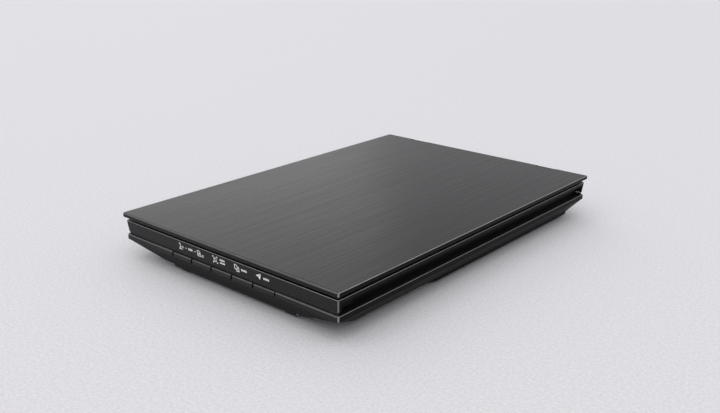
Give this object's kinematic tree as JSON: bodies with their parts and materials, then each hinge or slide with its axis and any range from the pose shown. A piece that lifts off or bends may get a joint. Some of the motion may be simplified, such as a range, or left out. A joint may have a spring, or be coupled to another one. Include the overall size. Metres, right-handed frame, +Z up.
{
  "type": "flatbed scanner",
  "caption": "Slim A4 flatbed scanner with a lifting hinged lid, glass platen, geared sensor carriage on a rack, front keys and a USB socket.",
  "frame": {"origin": "on the table under the middle of the scanner (centre of the bottom of its bounding box)", "axes": "+Z up, +Y along the depth from the key edge to the hinge edge, +X to the right seen from the keys"},
  "size_m": [0.25, 0.367, 0.042],
  "materials": {
    "lid_charcoal": "satin moulded plastic with a fine brushed hairline along the depth",
    "shell_black": "fine spark-eroded texture",
    "key_plastic": "satin moulded",
    "inner_plastic": "plain moulded",
    "switch_plastic": "plain moulded",
    "nylon": "natural, lightly greased",
    "platen_glass": "clear float glass, polished edges",
    "lens_glass": "dark rod lens array",
    "light_guide": "clear acrylic",
    "white_strip": "matt white film",
    "pad_foam": "fine closed-cell foam",
    "pad_sheet": "smooth white polyester sheet",
    "rubber": "matt",
    "steel": "drawn and zinc plated",
    "plated_metal": "nickel plated",
    "brass": "machined",
    "circuit_board": "green solder mask",
    "ribbon": "flat flexible cable"
  },
  "bodies": {
    "root": {"lower_housing": "shell_black", "upper_housing": "shell_black", "platen_glass": "platen_glass", "white_calibration_strip": "white_strip", "foot_front_left": "rubber", "foot_front_right": "rubber", "foot_rear_left": "rubber", "foot_rear_right": "rubber", "housing_screw_front_left": "steel", "housing_screw_front_right": "steel", "housing_screw_rear_left": "steel", "housing_screw_rear_right": "steel", "button_board": "circuit_board", "pdf_start_switch": "switch_plastic", "pdf_finish_switch": "switch_plastic", "auto_scan_switch": "switch_plastic", "copy_switch": "switch_plastic", "send_switch": "switch_plastic", "main_board": "circuit_board", "usb_socket": "plated_metal", "sensor_flat_cable": "ribbon", "drive_rack": "nylon", "guide_rail": "steel", "rail_clip_front": "inner_plastic", "rail_clip_rear": "inner_plastic", "left_hinge_guide": "inner_plastic", "right_hinge_guide": "inner_plastic"},
    "carriage": {"carriage_frame": "inner_plastic", "cis_housing": "inner_plastic", "cis_lens_array": "lens_glass", "cis_light_guide": "light_guide", "cis_cover_glass": "platen_glass", "cis_sensor_board": "circuit_board", "glide_spacer_left": "nylon", "glide_spacer_right": "nylon", "cis_spring_left": "steel", "cis_spring_right": "steel", "drive_motor": "plated_metal", "drive_axle": "steel", "idler_axle": "steel"},
    "drive_gear": {"drive_gear": "nylon"},
    "idler_gear": {"idler_gear": "nylon"},
    "motor_pinion": {"motor_pinion": "brass"},
    "carriage_lock": {"carriage_lock_slider": "key_plastic"},
    "left_post": {"left_hinge_post": "inner_plastic", "left_hinge_pin": "steel"},
    "right_post": {"right_hinge_post": "inner_plastic", "right_hinge_pin": "steel"},
    "lid": {"lid_outer_shell": "lid_charcoal", "lid_inner_panel": "shell_black", "document_pad_foam": "pad_foam", "document_pad_sheet": "pad_sheet", "left_lid_bracket": "inner_plastic", "right_lid_bracket": "inner_plastic"},
    "pdf_start_key": {"pdf_start_button": "key_plastic"},
    "pdf_finish_key": {"pdf_finish_button": "key_plastic"},
    "auto_scan_key": {"auto_scan_button": "key_plastic"},
    "copy_key": {"copy_button": "key_plastic"},
    "send_key": {"send_button": "key_plastic"}
  },
  "joints": [
    {"name": "left_post_lift", "type": "slide", "parent": "root", "child": "left_post", "axis": [0, 0, 1], "range_m": [0, 0.012]},
    {"name": "right_post_lift", "type": "slide", "parent": "root", "child": "right_post", "axis": [0, 0, 1], "range_m": [0, 0.012]},
    {"name": "lid_hinge", "type": "hinge", "parent": "left_post", "child": "lid", "pos_m": [0, 0.1813, 0.0396], "axis": [-1, 0, 0], "range_deg": [0, 100]},
    {"name": "carriage_travel", "type": "slide", "parent": "root", "child": "carriage", "axis": [0, -1, 0], "range_m": [0, 0.305], "deforming": ["sensor_flat_cable"]},
    {"name": "drive_gear_spin", "type": "hinge", "parent": "carriage", "child": "drive_gear", "pos_m": [0.022, 0.15, 0.0113], "axis": [0, 0, 1], "range_deg": [0, 2200]},
    {"name": "idler_gear_spin", "type": "hinge", "parent": "carriage", "child": "idler_gear", "pos_m": [0.00478, 0.15803, 0.0113], "axis": [0, 0, 1], "range_deg": [-1600, 0]},
    {"name": "motor_pinion_spin", "type": "hinge", "parent": "carriage", "child": "motor_pinion", "pos_m": [-0.00864, 0.16674, 0.0113], "axis": [0, 0, 1], "range_deg": [0, 3520]},
    {"name": "carriage_lock_slide", "type": "slide", "parent": "root", "child": "carriage_lock", "axis": [-1, 0, 0], "range_m": [0, 0.006]},
    {"name": "pdf_start_press", "type": "slide", "parent": "root", "child": "pdf_start_key", "axis": [0, 1, 0], "range_m": [0, 0.0008], "stiffness_N_per_m": 800},
    {"name": "pdf_finish_press", "type": "slide", "parent": "root", "child": "pdf_finish_key", "axis": [0, 1, 0], "range_m": [0, 0.0008], "stiffness_N_per_m": 800},
    {"name": "auto_scan_press", "type": "slide", "parent": "root", "child": "auto_scan_key", "axis": [0, 1, 0], "range_m": [0, 0.0008], "stiffness_N_per_m": 800},
    {"name": "copy_press", "type": "slide", "parent": "root", "child": "copy_key", "axis": [0, 1, 0], "range_m": [0, 0.0008], "stiffness_N_per_m": 800},
    {"name": "send_press", "type": "slide", "parent": "root", "child": "send_key", "axis": [0, 1, 0], "range_m": [0, 0.0008], "stiffness_N_per_m": 800}
  ],
  "couplings": [
    {"joint": "right_post_lift", "follows": "left_post_lift", "ratio": 1},
    {"joint": "drive_gear_spin", "follows": "carriage_travel", "rad_per_m": 125},
    {"joint": "idler_gear_spin", "follows": "carriage_travel", "rad_per_m": -90.909},
    {"joint": "motor_pinion_spin", "follows": "carriage_travel", "rad_per_m": 200}
  ]
}
